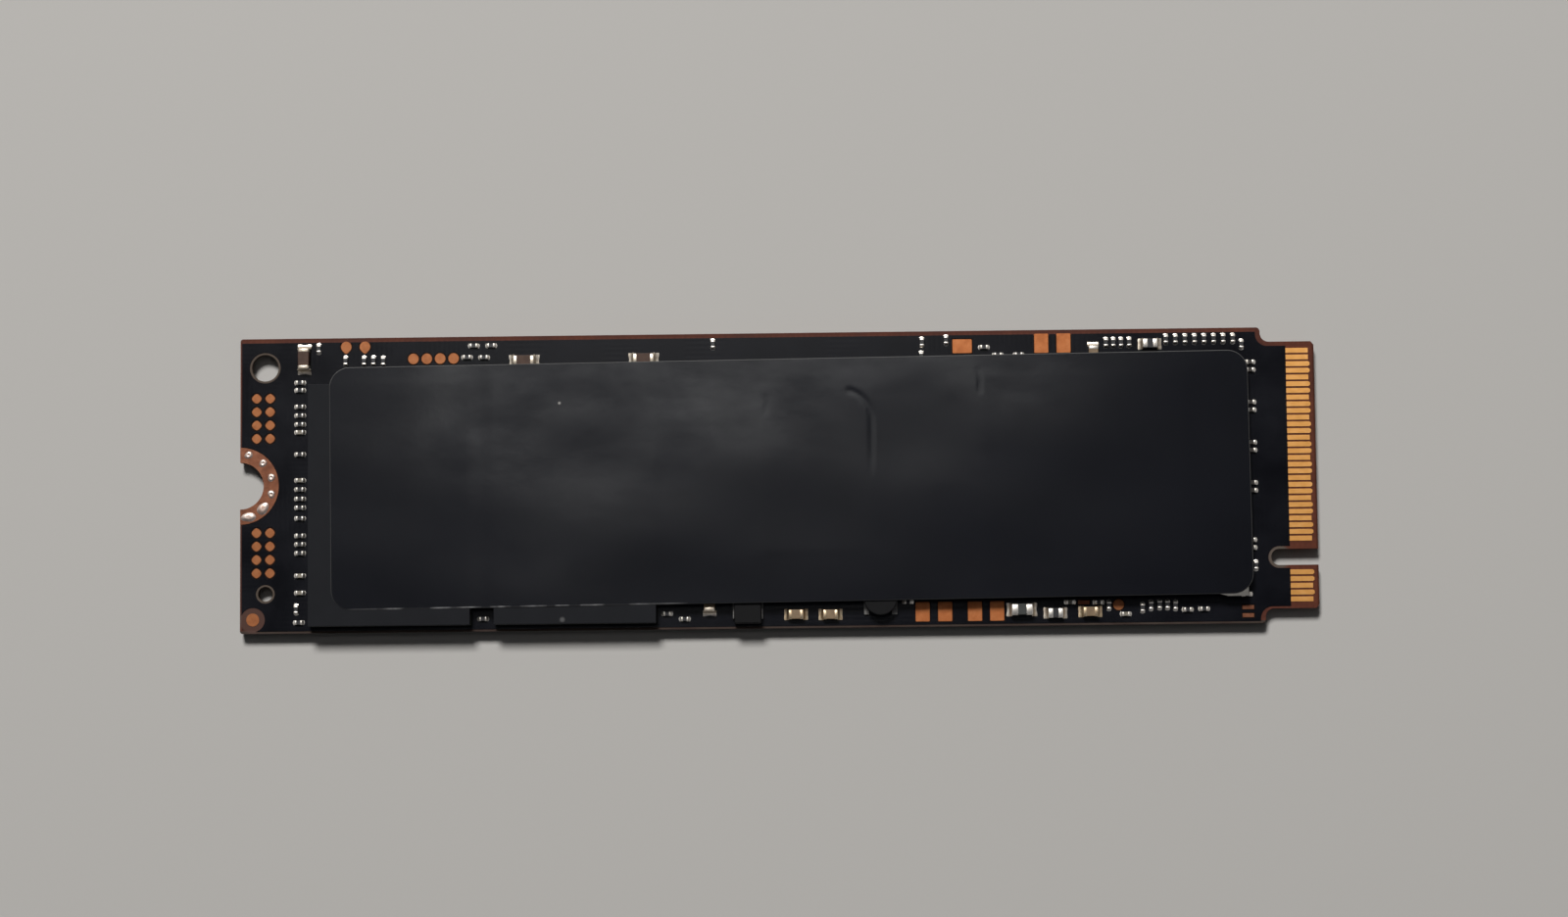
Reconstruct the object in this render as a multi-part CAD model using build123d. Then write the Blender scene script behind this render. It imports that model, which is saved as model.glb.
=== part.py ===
from build123d import *
import os

# Solid state drive module on a thin card-edge circuit board, in millimetres.
# +X runs from the half-round mounting notch to the gold card edge, +Y to the edge without a key,
# +Z out of the component side. The origin is under the middle of the board, on its lower face.

# Board: laminate between two solder masks
board_length = 80.0
board_width = 22.0
board_thickness = 0.80      # over both solder masks
mask_thickness = 0.04
foil_thickness = 0.035      # copper of the pads and contacts
board_corner = 0.2
mask_pullback = 0.24        # bare laminate left along every routed edge
mask_shift_x = -0.12        # the mask is printed a little out of register
mask_shift_y = -0.08

# Card edge
tab_length = 4.0
tab_step = 1.075            # how far the card edge is narrower than the board, on each side
tab_corner = 0.25
shoulder_corner = 0.3
shoulder_root = 0.65
tab_bevel = 0.15
key_width = 1.2
key_depth = 3.5
key_offset = -6.125         # middle of the key slot from the board's middle line
key_mask_gap = 0.22         # bare laminate left round the key slot
contact_pitch = 0.5
contact_width = 0.36
contact_root = 2.12         # inner end of every contact, from the end of the card
contact_tip_short = 0.46    # outer end of a ground contact, from the end of the card
contact_tip_long = 0.35     # outer end of a signal contact
contact_taper = 0.12
contact_from_edge = 0.65    # room beside the middle of the outermost contact
contact_key_gap = 0.1       # room beside the key slot

# Mounting end
notch_radius = 1.75
ring_outer_radius = 2.87
ring_mask_gap = 0.05
via_circle = 2.4
via_count = 6
via_spacing = 30.0          # degrees
via_bump_radius = 0.27
via_bump_height = 0.1
via_bump_slope = 45.0       # degrees
tooling_hole = 2.0
tooling_from_end = 1.85
tooling_from_edge = 2.18
small_hole = 1.1
small_from_end = 1.88
small_from_edge = 2.94
hole_mask_gap = 0.15

# Bare copper pads; the round ones are drawn with eight sides, as a board layout draws them
pad_mask_gap = 0.06
pad_sides = 8
header_pad = 0.74
header_pitch = 1.0
header_row_count = 4
header_column_count = 2
header_from_end = 1.22
header_from_middle = 3.52
round_pad = 0.81
round_pad_pitch = 1.0
probe_pad_wide = 1.05
probe_pad_long = 1.45
spare_pad_long = 0.86
spare_pad_wide = 0.29
spare_pad_pitch = 0.6
fiducial = 0.96
fiducial_opening = 1.8
fiducial_from_end = 0.95
fiducial_from_edge = 1.03

# Ball grid packages: all stand equally high, so that the label lies flat on them
ball_height = 0.25
ball_width = 0.36
package_height = 1.0
flash_count = 2
flash_width = 12.0
flash_from_end = 5.2
flash_gap = 1.75
flash_from_edge = 0.45
open_strip = 3.55           # free for chip parts between the flash packages and the open edge
ball_pitch = 1.0
ball_from_edge = 0.9        # room beside the middle of the outermost ball
memory_width = 8.0
memory_length = 12.0
memory_gap = 8.05           # from the second flash package
memory_offset = 0.7         # above the board's middle line
controller_size = 15.0
controller_from_end = 9.8

# Power parts between the flash and the memory, and a clock beside the controller, under the label
power_chip_size = 4.0
power_chip_height = 0.75
power_chip_offset = -4.5
land_pitch = 0.65
land_width = 0.3
land_length = 0.45
land_thickness = 0.06
land_reach = 0.08           # how far a land shows outside the chip
land_count = 5              # on each side
crystal_length = 2.0
crystal_width = 1.6
crystal_height = 0.55
crystal_lid_height = 0.15
crystal_lid_inset = 0.15
crystal_offset = 4.6
crystal_gap = 1.2           # from the controller
crystal_corner = 0.3

# Power inductors at the keyed edge
inductor_length = 2.0
inductor_width = 1.9
inductor_height = 1.0
inductor_end_thickness = 0.12
inductor_end_height = 0.45
inductor_end_width = 1.2
inductor_from_edge = 1.3
drum_radius = 1.2
drum_height = 0.95
drum_flange = 0.22
drum_waist = 0.95
drum_foot_length = 2.3
drum_foot_width = 0.4
drum_foot_thickness = 0.2
drum_foot_spacing = 2.06    # between the middles of the two feet
drum_from_edge = 2.07

# Chip parts in three sizes; an end is the plated length of the ceramic
bulk_length = 1.6
bulk_width = 0.8
bulk_height = 0.8
bulk_end = 0.3
middle_length = 1.12
middle_width = 0.68
middle_height = 0.6
middle_end = 0.26
bead_end = 0.5              # the bead and the sense resistors are plated further in
sense_end = 0.36
small_length = 0.6
small_width = 0.3
small_height = 0.26
small_end = 0.16
plating = 0.02              # how far a plated end stands out of the ceramic
bulk_fillet = 0.38          # reach of the solder in front of a plated end
bulk_fillet_spread = 0.1    # how far it stands out beside the ceramic
middle_fillet = 0.34
middle_fillet_spread = 0.06

# Label film
label_thickness = 0.1
label_from_mount_end = 6.87
label_from_connector_end = 5.05
label_from_edge = 1.97
label_offset = -0.1
label_turn = 0.47           # degrees, stuck on a little askew
label_corner = 1.5

# Levels and edges that follow from those sizes
laminate_bottom = mask_thickness
laminate_top = board_thickness - mask_thickness
part_level = board_thickness
package_bottom = part_level + ball_height
package_top = package_bottom + package_height
mount_end = -board_length / 2
connector_end = board_length / 2
shoulder = connector_end - tab_length
open_edge = board_width / 2
keyed_edge = -board_width / 2
mask_end = connector_end - contact_root
tab_width = board_width - 2 * tab_step
contact_count = int((tab_width - 2 * contact_from_edge) / contact_pitch) + 1

flash_left = mount_end + flash_from_end
flash_step = flash_width + flash_gap
flash_middles = [flash_left + flash_width / 2 + i * flash_step for i in range(flash_count)]
flash_right = flash_middles[-1] + flash_width / 2
flash_length = board_width - flash_from_edge - open_strip
flash_y = keyed_edge + flash_from_edge + flash_length / 2
memory_x = flash_right + memory_gap + memory_width / 2
controller_x = connector_end - controller_from_end - controller_size / 2
power_x = flash_right + memory_gap / 2
crystal_x = controller_x + controller_size / 2 + crystal_gap + crystal_length / 2

# Places of the chip parts: (along, across, turn in degrees). Along the open edge they are measured
# from the end that they are nearer to, and across from the edge.
open_small_from_mount = [
    (5.87, 0.8, 90), (7.87, 1.75, 90), (9.25, 1.77, 90), (9.95, 1.76, 90), (10.68, 1.79, 90),
    (16.93, 1.56, 0), (18.2, 1.58, 0), (17.44, 0.7, 0), (18.74, 0.7, 0), (35.28, 0.8, 90),
]
open_small_from_connector = [
    (29.15, 0.84, 90), (29.2, 1.88, 90), (27.35, 0.7, 90), (24.53, 1.26, 0), (23.5, 1.85, 0),
    (21.96, 1.85, 0), (15.46, 1.02, 90), (14.91, 1.02, 90), (14.34, 1.02, 90), (13.73, 1.02, 90),
    (5.4, 1.26, 90),
]
even_row_start = 11.0       # the even row at the open edge, from the connector end
even_row_pitch = 0.71
even_row_count = 8
even_row_across = 0.82
column_from_end = 4.46      # the column beside the first flash package
column_resistors = [
    0.349, 0.323, 0.267, 0.237, 0.207, 0.105, -0.014, -0.046, -0.076, -0.112, -0.171, -0.2, -0.23
]                           # shares of the board's width, from the middle line
column_capacitors = [0.18, 0.017, -0.306, -0.364]
corner_chips = [(4.19, -0.42, 90), (4.38, -0.464, 0)]
gap_chip_from_edge = 0.93   # the chip between the two flash packages
lane_count = 4
lane_pitch = 6 * contact_pitch
lane_first = 8.12
lane_pair = 0.58
lane_from_end = 4.8
clock_pair_middle = -5.13
clock_pair_from_end = 4.95

# Along the keyed edge, right of the flash packages, places are shares of the free strip up to the
# shoulder of the card edge, and distances from the edge.
strip_small = [
    (0.017, 1.16, 0), (0.046, 0.75, 0), (0.413, 1.86, 0), (0.726, 1.66, 0), (0.743, 1.42, 90),
    (0.798, 1.22, 90), (0.812, 1.38, 90), (0.826, 1.44, 90), (0.839, 1.43, 90), (0.852, 1.36, 90),
    (0.872, 1.05, 0), (0.899, 1.09, 0),
]
strip_small_capacitors = [(0.679, 1.7, 0), (0.7705, 0.77, 0)]
strip_filters = [(0.2291, 1.0, 0), (0.2857, 0.97, 0), (0.7123, 0.97, 0)]
strip_filters_dark = [(0.655, 0.9, 0)]
strip_bulk = (0.087, 2.07, 90)
strip_bead = (0.6, 1.18, 0)
strip_inductor = 0.150
strip_drum = 0.368
strip_probe_pads = [0.437, 0.474, 0.523, 0.5594]
strip_probe_from_edge = 1.1
strip_round_pad = (0.7588, 1.47)
strip_low_pad = (0.7018, 1.67)
strip_spare_pads = (0.9714, 0.88)

bulk_from_mount = [(4.8, 1.58, 90), (21.2, 1.92, 0), (30.12, 1.88, 0)]
open_filter_dark = (12.2, 1.15, 0)
open_middle = (16.42, 1.83, 90)
edge_small = [(4.66, -6.74, 90), (5.37, -8.86, 0)]      # from the connector end and the middle line
hidden_middle_count = 5             # a row above the power chip
hidden_middle_pitch = 1.2
hidden_middle_offset = -0.9
teardrop_pads = [7.9, 9.3]          # from the mount end
teardrop_from_edge = 0.67
teardrop_tail = 0.12
round_row_start = 12.92
round_row_count = 4
round_row_from_edge = 1.62
open_probe_pads = [(26.15, 1.15, 0), (20.26, 1.0, 90), (18.6, 1.0, 90)]


def strip(share):
    return flash_right + share * (shoulder - flash_right)


def slab(sketch, bottom, top):
    return Pos(0, 0, bottom) * extrude(sketch, amount=top - bottom)


def foil_top(sketch):
    return slab(sketch, laminate_top, laminate_top + foil_thickness)


def foil_bottom(sketch):
    return slab(sketch, laminate_bottom - foil_thickness, laminate_bottom)


def corners(sketch, x, y):
    """The sketch's corner points at x and at plus or minus y."""
    near = 1e-4
    return [v for v in sketch.vertices() if abs(v.X - x) < near and abs(abs(v.Y) - y) < near]


def rounded(sketch, x, y, radius):
    return fillet(corners(sketch, x, y), radius) if radius > 0 else sketch


def routed_outline(inset=0.0):
    """The board's outline with its notch, or a copy drawn in from every edge."""
    left = mount_end + inset
    right = connector_end - inset
    step = shoulder - inset
    half_board = board_width / 2 - inset
    half_tab = tab_width / 2 - inset
    body = Pos((left + step) / 2, 0) * Rectangle(step - left, 2 * half_board)
    tab = Pos((step + right) / 2, 0) * Rectangle(right - step, 2 * half_tab)
    outline = body + tab
    outline = rounded(outline, left, half_board, board_corner - inset)
    outline = rounded(outline, step, half_board, shoulder_corner - inset)
    outline = rounded(outline, step, half_tab, shoulder_root + inset)
    outline = chamfer(corners(outline, right, half_tab), tab_corner)
    return outline - Pos(mount_end, 0) * Circle(notch_radius + inset)


def key_slot(gap=0.0):
    """The round-ended slot that the key of a socket fits, or a copy grown by a gap."""
    radius = key_width / 2 + gap
    end = connector_end - key_depth + key_width / 2
    slot = Pos(end, key_offset) * Circle(radius)
    return slot + Pos((end + connector_end) / 2, key_offset) * Rectangle(connector_end - end, 2 * radius)


def hole_places():
    return [
        (Pos(mount_end + tooling_from_end, open_edge - tooling_from_edge), tooling_hole),
        (Pos(mount_end + small_from_end, keyed_edge + small_from_edge), small_hole),
    ]


def laminate():
    outline = routed_outline() - key_slot()
    for place, diameter in hole_places():
        outline -= place * Circle(diameter / 2)
    board = slab(outline, laminate_bottom, laminate_top)
    leading = board.edges().filter_by(Axis.Y).group_by(Axis.X)[-1]
    return chamfer(leading, tab_bevel)


def contact_rows(count):
    """Y of each contact of a face, in order from the open edge, without those that the key cuts."""
    first = (count - 1) / 2 * contact_pitch
    rows = [first - i * contact_pitch for i in range(count)]
    cut = (key_width + contact_width) / 2 + contact_key_gap
    return [y for y in rows if abs(y - key_offset) > cut]


def contact(y, signal):
    """One gold contact. A signal contact is longer and narrows towards its tip."""
    root = connector_end - contact_root
    half = contact_width / 2
    if not signal:
        tip = connector_end - contact_tip_short
        return Pos((root + tip) / 2, y) * Rectangle(tip - root, contact_width)
    tip = connector_end - contact_tip_long
    neck = tip - contact_taper
    shape = Polyline(
        (root, y - half), (neck, y - half), (tip, y - half / 2), (tip, y + half / 2),
        (neck, y + half), (root, y + half), close=True,
    )
    return make_face(shape)


def contacts_top():
    """Before the key the first contact and every third one from the second are grounds. After the
    key every other one is, from the third."""
    rows = contact_rows(contact_count)
    before = len([y for y in rows if y > key_offset])
    signals = [i > 0 and i % 3 != 1 for i in range(before)]
    signals += [i == 0 or i % 2 == 1 for i in range(len(rows) - before)]
    return [foil_top(contact(y, signal)) for y, signal in zip(rows, signals)]


def contacts_bottom():
    """The lower face has one contact less, so its contacts lie half a pitch off the upper ones."""
    return [foil_bottom(contact(y, False)) for y in contact_rows(contact_count - 1)]


def ring_sketch():
    ring = Pos(mount_end, 0) * (Circle(ring_outer_radius) - Circle(notch_radius))
    return ring & routed_outline()


def pad_disc(radius):
    return RegularPolygon(radius, pad_sides, major_radius=False, rotation=180 / pad_sides)


def via_bumps():
    """Solder standing on the plated holes of the mounting ring."""
    bump = extrude(pad_disc(via_bump_radius), amount=via_bump_height, taper=via_bump_slope)
    level = laminate_top + foil_thickness
    angles = [(i - (via_count - 1) / 2) * via_spacing for i in range(via_count)]
    return [Pos(mount_end, 0, level) * Rot(0, 0, a) * Pos(via_circle, 0) * bump for a in angles]


def header_places():
    places = []
    for side in (1, -1):
        for row in range(header_row_count):
            y = side * (header_from_middle + row * header_pitch)
            for column in range(header_column_count):
                places.append(Pos(mount_end + header_from_end + column * header_pitch, y))
    return places


def teardrop(radius):
    """A round pad with a pointed tail where its trace leaves."""
    tail = Polyline((-radius, 0), (radius, 0), (0, -radius - teardrop_tail), close=True)
    return pad_disc(radius) + make_face(tail)


def round_places():
    y = open_edge - round_row_from_edge
    x = mount_end + round_row_start
    places = [Pos(x + i * round_pad_pitch, y) for i in range(round_row_count)]
    share, across = strip_round_pad
    places.append(Pos(strip(share), keyed_edge + across))
    return places


def teardrop_places():
    return [Pos(mount_end + x, open_edge - teardrop_from_edge) for x in teardrop_pads]


def probe_places():
    places = [
        Pos(connector_end - x, open_edge - y) * Rot(0, 0, turn) for x, y, turn in open_probe_pads
    ]
    for share in strip_probe_pads:
        places.append(Pos(strip(share), keyed_edge + strip_probe_from_edge) * Rot(0, 0, 90))
    return places


def spare_places():
    share, across = strip_spare_pads
    places = [Pos(strip(share), keyed_edge + across + s * spare_pad_pitch / 2) for s in (1, -1)]
    share, across = strip_low_pad
    return places + [Pos(strip(share), keyed_edge + across)]


def fiducial_place():
    return Pos(mount_end + fiducial_from_end, keyed_edge + fiducial_from_edge)


def pad_shapes(gap=0.0):
    """Every bare pad by node name, or its opening in the solder mask with the given gap."""
    grow = 2 * gap
    return {
        "header_pads": [p * pad_disc(header_pad / 2 + gap) for p in header_places()],
        "round_probe_pads": [p * pad_disc(round_pad / 2 + gap) for p in round_places()]
        + [p * teardrop(round_pad / 2 + gap) for p in teardrop_places()],
        "square_probe_pads": [
            p * Rectangle(probe_pad_long + grow, probe_pad_wide + grow) for p in probe_places()
        ],
        "spare_pads": [
            p * Rectangle(spare_pad_long + grow, spare_pad_wide + grow) for p in spare_places()
        ],
    }


def mask_outline():
    printed = Pos(mask_shift_x, mask_shift_y) * routed_outline(mask_pullback)
    window = Pos((mount_end + mask_end) / 2, 0) * Rectangle(mask_end - mount_end, board_width)
    outline = (printed & window) - ring_opening() - key_slot(key_mask_gap)
    for place, diameter in hole_places():
        outline -= place * Circle(diameter / 2 + hole_mask_gap)
    return outline


def ring_opening():
    return Pos(mount_end, 0) * Circle(ring_outer_radius + ring_mask_gap)


def mask_top():
    """The printed mask with its openings. The sliver outside the fiducial's opening flakes off."""
    outline = mask_outline()
    for openings in pad_shapes(pad_mask_gap).values():
        outline -= openings
    outline -= fiducial_place() * Circle(fiducial_opening / 2)
    whole = outline.faces().sort_by(SortBy.AREA)[-1]
    return [slab(whole, laminate_top, board_thickness)]


def mask_bottom():
    return [slab(mask_outline(), 0, mask_thickness)]


def ball_ring(x, y, width, length):
    """The outer ring of a package's solder balls, each drawn as a short square post."""
    ball = slab(Rectangle(ball_width, ball_width), part_level, package_bottom)
    columns = int((width - 2 * ball_from_edge) / ball_pitch) + 1
    rows = int((length - 2 * ball_from_edge) / ball_pitch) + 1
    balls = []
    for column in range(columns):
        for row in range(rows):
            if column in (0, columns - 1) or row in (0, rows - 1):
                along = (column - (columns - 1) / 2) * ball_pitch
                across = (row - (rows - 1) / 2) * ball_pitch
                balls.append(Pos(x + along, y + across) * ball)
    return balls


def package(x, y, width, length, bottom):
    return [Pos(x, y) * slab(Rectangle(width, length), bottom, package_top)]


def power_chip():
    bottom = part_level + land_thickness
    body = slab(Rectangle(power_chip_size, power_chip_size), bottom, bottom + power_chip_height)
    return [Pos(power_x, power_chip_offset) * body]


def power_lands():
    """Soldered lands under the rim of the power chip, which stands on them."""
    reach = power_chip_size / 2 + land_reach - land_length / 2
    land = slab(Rectangle(land_length, land_width), part_level, part_level + land_thickness)
    steps = [(i - (land_count - 1) / 2) * land_pitch for i in range(land_count)]
    lands = [Rot(0, 0, 90 * side) * Pos(reach, step) * land for side in range(4) for step in steps]
    return [Pos(power_x, power_chip_offset) * land for land in lands]


def crystal_outline(inset):
    shape = Rectangle(crystal_length - 2 * inset, crystal_width - 2 * inset)
    return Pos(crystal_x, crystal_offset) * chamfer(shape.vertices(), crystal_corner)


def crystal_base():
    top = part_level + crystal_height - crystal_lid_height
    return [slab(crystal_outline(0), part_level, top)]


def crystal_lid():
    top = part_level + crystal_height
    return [slab(crystal_outline(crystal_lid_inset), top - crystal_lid_height, top)]


def inductor_body():
    place = Pos(strip(strip_inductor), keyed_edge + inductor_from_edge)
    block = slab(Rectangle(inductor_length, inductor_width), part_level, part_level + inductor_height)
    return [place * block]


def inductor_ends():
    place = Pos(strip(strip_inductor), keyed_edge + inductor_from_edge)
    reach = (inductor_length + inductor_end_thickness) / 2
    end = slab(
        Rectangle(inductor_end_thickness, inductor_end_width), part_level, part_level + inductor_end_height
    )
    return [place * Pos(side * reach, 0) * end for side in (1, -1)]


def drum_place():
    return Pos(strip(strip_drum), keyed_edge + drum_from_edge)


def drum_core():
    """A turned ferrite drum: two flanges with a wound waist between them."""
    low = part_level + drum_foot_thickness
    high = low + drum_height
    profile = Polyline(
        (0, low), (drum_radius, low), (drum_radius, low + drum_flange), (drum_waist, low + drum_flange),
        (drum_waist, high - drum_flange), (drum_radius, high - drum_flange), (drum_radius, high), (0, high),
        close=True,
    )
    return [drum_place() * revolve(Plane.XZ * make_face(profile), Axis.Z)]


def drum_feet():
    """Two plated feet that carry the drum clear of the board and show at its corners."""
    foot = slab(Rectangle(drum_foot_width, drum_foot_length), part_level, part_level + drum_foot_thickness)
    return [drum_place() * Pos(side * drum_foot_spacing / 2, 0) * foot for side in (1, -1)]


def chip_body(place, chip):
    """The ceramic between the plated ends of a chip part."""
    length, width, height, end = chip
    body = slab(Rectangle(length - 2 * end, width), part_level + plating, part_level + height)
    return place * body


def chip_ends(place, chip):
    """The two plated ends, a little fuller than the ceramic."""
    length, width, height, end = chip
    cap = slab(Rectangle(end, width + 2 * plating), part_level, part_level + height + plating)
    reach = (length - end) / 2
    return [place * Pos(side * reach, 0) * cap for side in (1, -1)]


def chip_solder(place, chip, reach, spread):
    """A solder fillet in front of each plated end, half as high as the part and a little wider."""
    length, width, height, _ = chip
    profile = Polyline((0, 0), (reach, 0), (0, height / 2), close=True)
    wedge = extrude(Plane.XZ * make_face(profile), amount=width / 2 + spread, both=True)
    right = place * Pos(length / 2, 0, part_level) * wedge
    left = place * Rot(0, 0, 180) * Pos(length / 2, 0, part_level) * wedge
    return [right, left]


def from_mount(places):
    return [Pos(mount_end + x, open_edge - y) * Rot(0, 0, turn) for x, y, turn in places]


def from_connector(places):
    return [Pos(connector_end - x, open_edge - y) * Rot(0, 0, turn) for x, y, turn in places]


def on_strip(places):
    return [Pos(strip(share), keyed_edge + y) * Rot(0, 0, turn) for share, y, turn in places]


def resistor_places():
    places = from_mount(open_small_from_mount) + from_connector(open_small_from_connector)
    places += on_strip(strip_small)
    row = [(even_row_start - i * even_row_pitch, even_row_across, 90) for i in range(even_row_count)]
    places += from_connector(row)
    places += [Pos(mount_end + column_from_end, share * board_width) for share in column_resistors]
    places += [
        Pos(mount_end + x, share * board_width) * Rot(0, 0, turn) for x, share, turn in corner_chips
    ]
    places += [Pos(connector_end - x, y) * Rot(0, 0, turn) for x, y, turn in edge_small]
    gap_middle = (flash_middles[0] + flash_middles[1]) / 2
    return places + [Pos(gap_middle, keyed_edge + gap_chip_from_edge)]


def small_capacitor_places():
    places = [Pos(mount_end + column_from_end, share * board_width) for share in column_capacitors]
    places += on_strip(strip_small_capacitors)
    for lane in range(lane_count):
        for side in (1, -1):
            y = lane_first - lane * lane_pitch + side * lane_pair / 2
            places.append(Pos(connector_end - lane_from_end, y))
    for side in (1, -1):
        places.append(Pos(connector_end - clock_pair_from_end, clock_pair_middle + side * lane_pair / 2))
    return places


def middle_places():
    places = from_connector([open_middle])
    for i in range(hidden_middle_count):
        step = (i - (hidden_middle_count - 1) / 2) * hidden_middle_pitch
        places.append(Pos(power_x + step, hidden_middle_offset) * Rot(0, 0, 90))
    return places


def chip_nodes(name, places, chip):
    ends = [end for place in places for end in chip_ends(place, chip)]
    return {name + "_bodies": [chip_body(place, chip) for place in places], name + "_ends": ends}


def chip_parts():
    bulk_chip = (bulk_length, bulk_width, bulk_height, bulk_end)
    bead_chip = (bulk_length, bulk_width, bulk_height, bead_end)
    middle_chip = (middle_length, middle_width, middle_height, middle_end)
    sense_chip = (middle_length, middle_width, middle_height, sense_end)
    small_chip = (small_length, small_width, small_height, small_end)
    bulk = from_mount(bulk_from_mount) + on_strip([strip_bulk])
    bead = on_strip([strip_bead])
    filters = on_strip(strip_filters)
    filters_dark = on_strip(strip_filters_dark) + from_connector([open_filter_dark])
    decoupling = middle_places()
    nodes = chip_nodes("bulk_capacitor", bulk, bulk_chip)
    nodes.update(chip_nodes("ferrite_bead", bead, bead_chip))
    nodes.update(chip_nodes("filter_capacitor", filters, middle_chip))
    nodes.update(chip_nodes("sense_resistor", filters_dark, sense_chip))
    nodes.update(chip_nodes("decoupling_capacitor", decoupling, middle_chip))
    nodes.update(chip_nodes("small_resistor", resistor_places(), small_chip))
    nodes.update(chip_nodes("small_capacitor", small_capacitor_places(), small_chip))
    fillets = [chip_solder(place, bulk_chip, bulk_fillet, bulk_fillet_spread) for place in bulk + bead]
    for place in filters + filters_dark + decoupling:
        fillets.append(chip_solder(place, middle_chip, middle_fillet, middle_fillet_spread))
    nodes["solder_fillets"] = [wedge for pair in fillets for wedge in pair]
    return nodes


def label():
    length = board_length - label_from_mount_end - label_from_connector_end
    width = board_width - 2 * label_from_edge
    middle = mount_end + label_from_mount_end + length / 2
    shape = RectangleRounded(length, width, label_corner)
    film = slab(shape, package_top, package_top + label_thickness)
    return [Pos(middle, label_offset) * Rot(0, 0, label_turn) * film]


def packages():
    """The flash packages stand on their balls. The two under the label are drawn down to the board."""
    nodes = {}
    for name, x in zip(("a", "b"), flash_middles):
        nodes["flash_package_" + name] = package(x, flash_y, flash_width, flash_length, package_bottom)
        nodes["flash_balls_" + name] = ball_ring(x, flash_y, flash_width, flash_length)
    nodes["memory_package"] = package(memory_x, memory_offset, memory_width, memory_length, part_level)
    nodes["controller_package"] = package(controller_x, 0, controller_size, controller_size, part_level)
    return nodes


def all_nodes():
    nodes = {
        "board_laminate": [laminate()],
        "solder_mask_top": mask_top(),
        "solder_mask_bottom": mask_bottom(),
        "edge_contacts_top": contacts_top(),
        "edge_contacts_bottom": contacts_bottom(),
        "mounting_ring_top": [foil_top(ring_sketch())],
        "mounting_ring_bottom": [foil_bottom(ring_sketch())],
        "ring_via_solder": via_bumps(),
        "fiducial_dot": [foil_top(fiducial_place() * Circle(fiducial / 2))],
        "power_chip": power_chip(),
        "power_chip_lands": power_lands(),
        "crystal_base": crystal_base(),
        "crystal_lid": crystal_lid(),
        "power_inductor": inductor_body(),
        "power_inductor_ends": inductor_ends(),
        "drum_inductor": drum_core(),
        "drum_inductor_feet": drum_feet(),
        "label": label(),
    }
    for name, shapes in pad_shapes().items():
        nodes[name] = [foil_top(shape) for shape in shapes]
    nodes.update(packages())
    nodes.update(chip_parts())
    return nodes


os.makedirs("parts", exist_ok=True)
for name, pieces in all_nodes().items():
    solids = [solid for piece in pieces for solid in piece.solids()]
    export_step(Compound(children=solids), f"parts/{name}.step")
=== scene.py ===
import math

import bpy
import numpy as np
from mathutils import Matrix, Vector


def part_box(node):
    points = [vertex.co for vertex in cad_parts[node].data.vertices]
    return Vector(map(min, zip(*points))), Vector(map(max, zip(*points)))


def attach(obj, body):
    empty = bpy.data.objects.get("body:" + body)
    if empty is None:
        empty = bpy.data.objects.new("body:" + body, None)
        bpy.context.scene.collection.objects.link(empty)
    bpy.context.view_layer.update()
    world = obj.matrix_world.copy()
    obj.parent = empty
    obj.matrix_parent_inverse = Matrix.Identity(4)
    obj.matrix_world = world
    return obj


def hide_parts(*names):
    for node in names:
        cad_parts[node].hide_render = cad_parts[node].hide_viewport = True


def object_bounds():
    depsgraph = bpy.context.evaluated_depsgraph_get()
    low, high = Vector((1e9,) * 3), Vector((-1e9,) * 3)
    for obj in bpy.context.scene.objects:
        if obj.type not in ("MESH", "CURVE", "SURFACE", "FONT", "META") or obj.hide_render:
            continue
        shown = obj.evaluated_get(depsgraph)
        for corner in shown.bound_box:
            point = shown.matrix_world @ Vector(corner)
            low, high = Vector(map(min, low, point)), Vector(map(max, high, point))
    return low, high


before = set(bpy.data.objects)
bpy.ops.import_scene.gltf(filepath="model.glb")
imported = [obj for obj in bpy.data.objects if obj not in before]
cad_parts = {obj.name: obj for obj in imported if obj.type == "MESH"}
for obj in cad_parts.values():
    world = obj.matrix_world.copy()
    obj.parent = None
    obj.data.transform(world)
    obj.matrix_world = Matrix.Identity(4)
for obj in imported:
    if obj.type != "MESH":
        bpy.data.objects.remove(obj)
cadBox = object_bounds()
print("frame loaded:", len(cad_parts), "nodes")

mm = 0.001  # shapes are worked out in millimetres
quarter = math.pi / 2
leastRadius = 0.002  # of a corner that is drawn in all the way
packages = ("flash_package_a", "flash_package_b", "memory_package", "controller_package")
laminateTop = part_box("board_laminate")[1].z / mm
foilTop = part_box("fiducial_dot")[1].z / mm
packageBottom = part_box("flash_package_a")[0].z / mm
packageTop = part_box("flash_package_a")[1].z / mm


def nodeBox(nodeName):
    # low and high corner of a node in millimetres
    return [np.array(corner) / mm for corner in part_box(nodeName)]


def nodePoints(nodeName):
    # a node's corners in millimetres, merged where they share a place, and its triangles as corner numbers
    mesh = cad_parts[nodeName].data
    places = np.empty(len(mesh.vertices) * 3, np.float32)
    corners = np.empty(len(mesh.loops), np.int32)
    mesh.vertices.foreach_get("co", places)
    mesh.loops.foreach_get("vertex_index", corners)
    merged, same = np.unique(np.round(places.reshape(-1, 3) / mm, 4), axis=0, return_inverse=True)
    return merged.astype(float), same.ravel()[corners].reshape(-1, 3)


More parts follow.
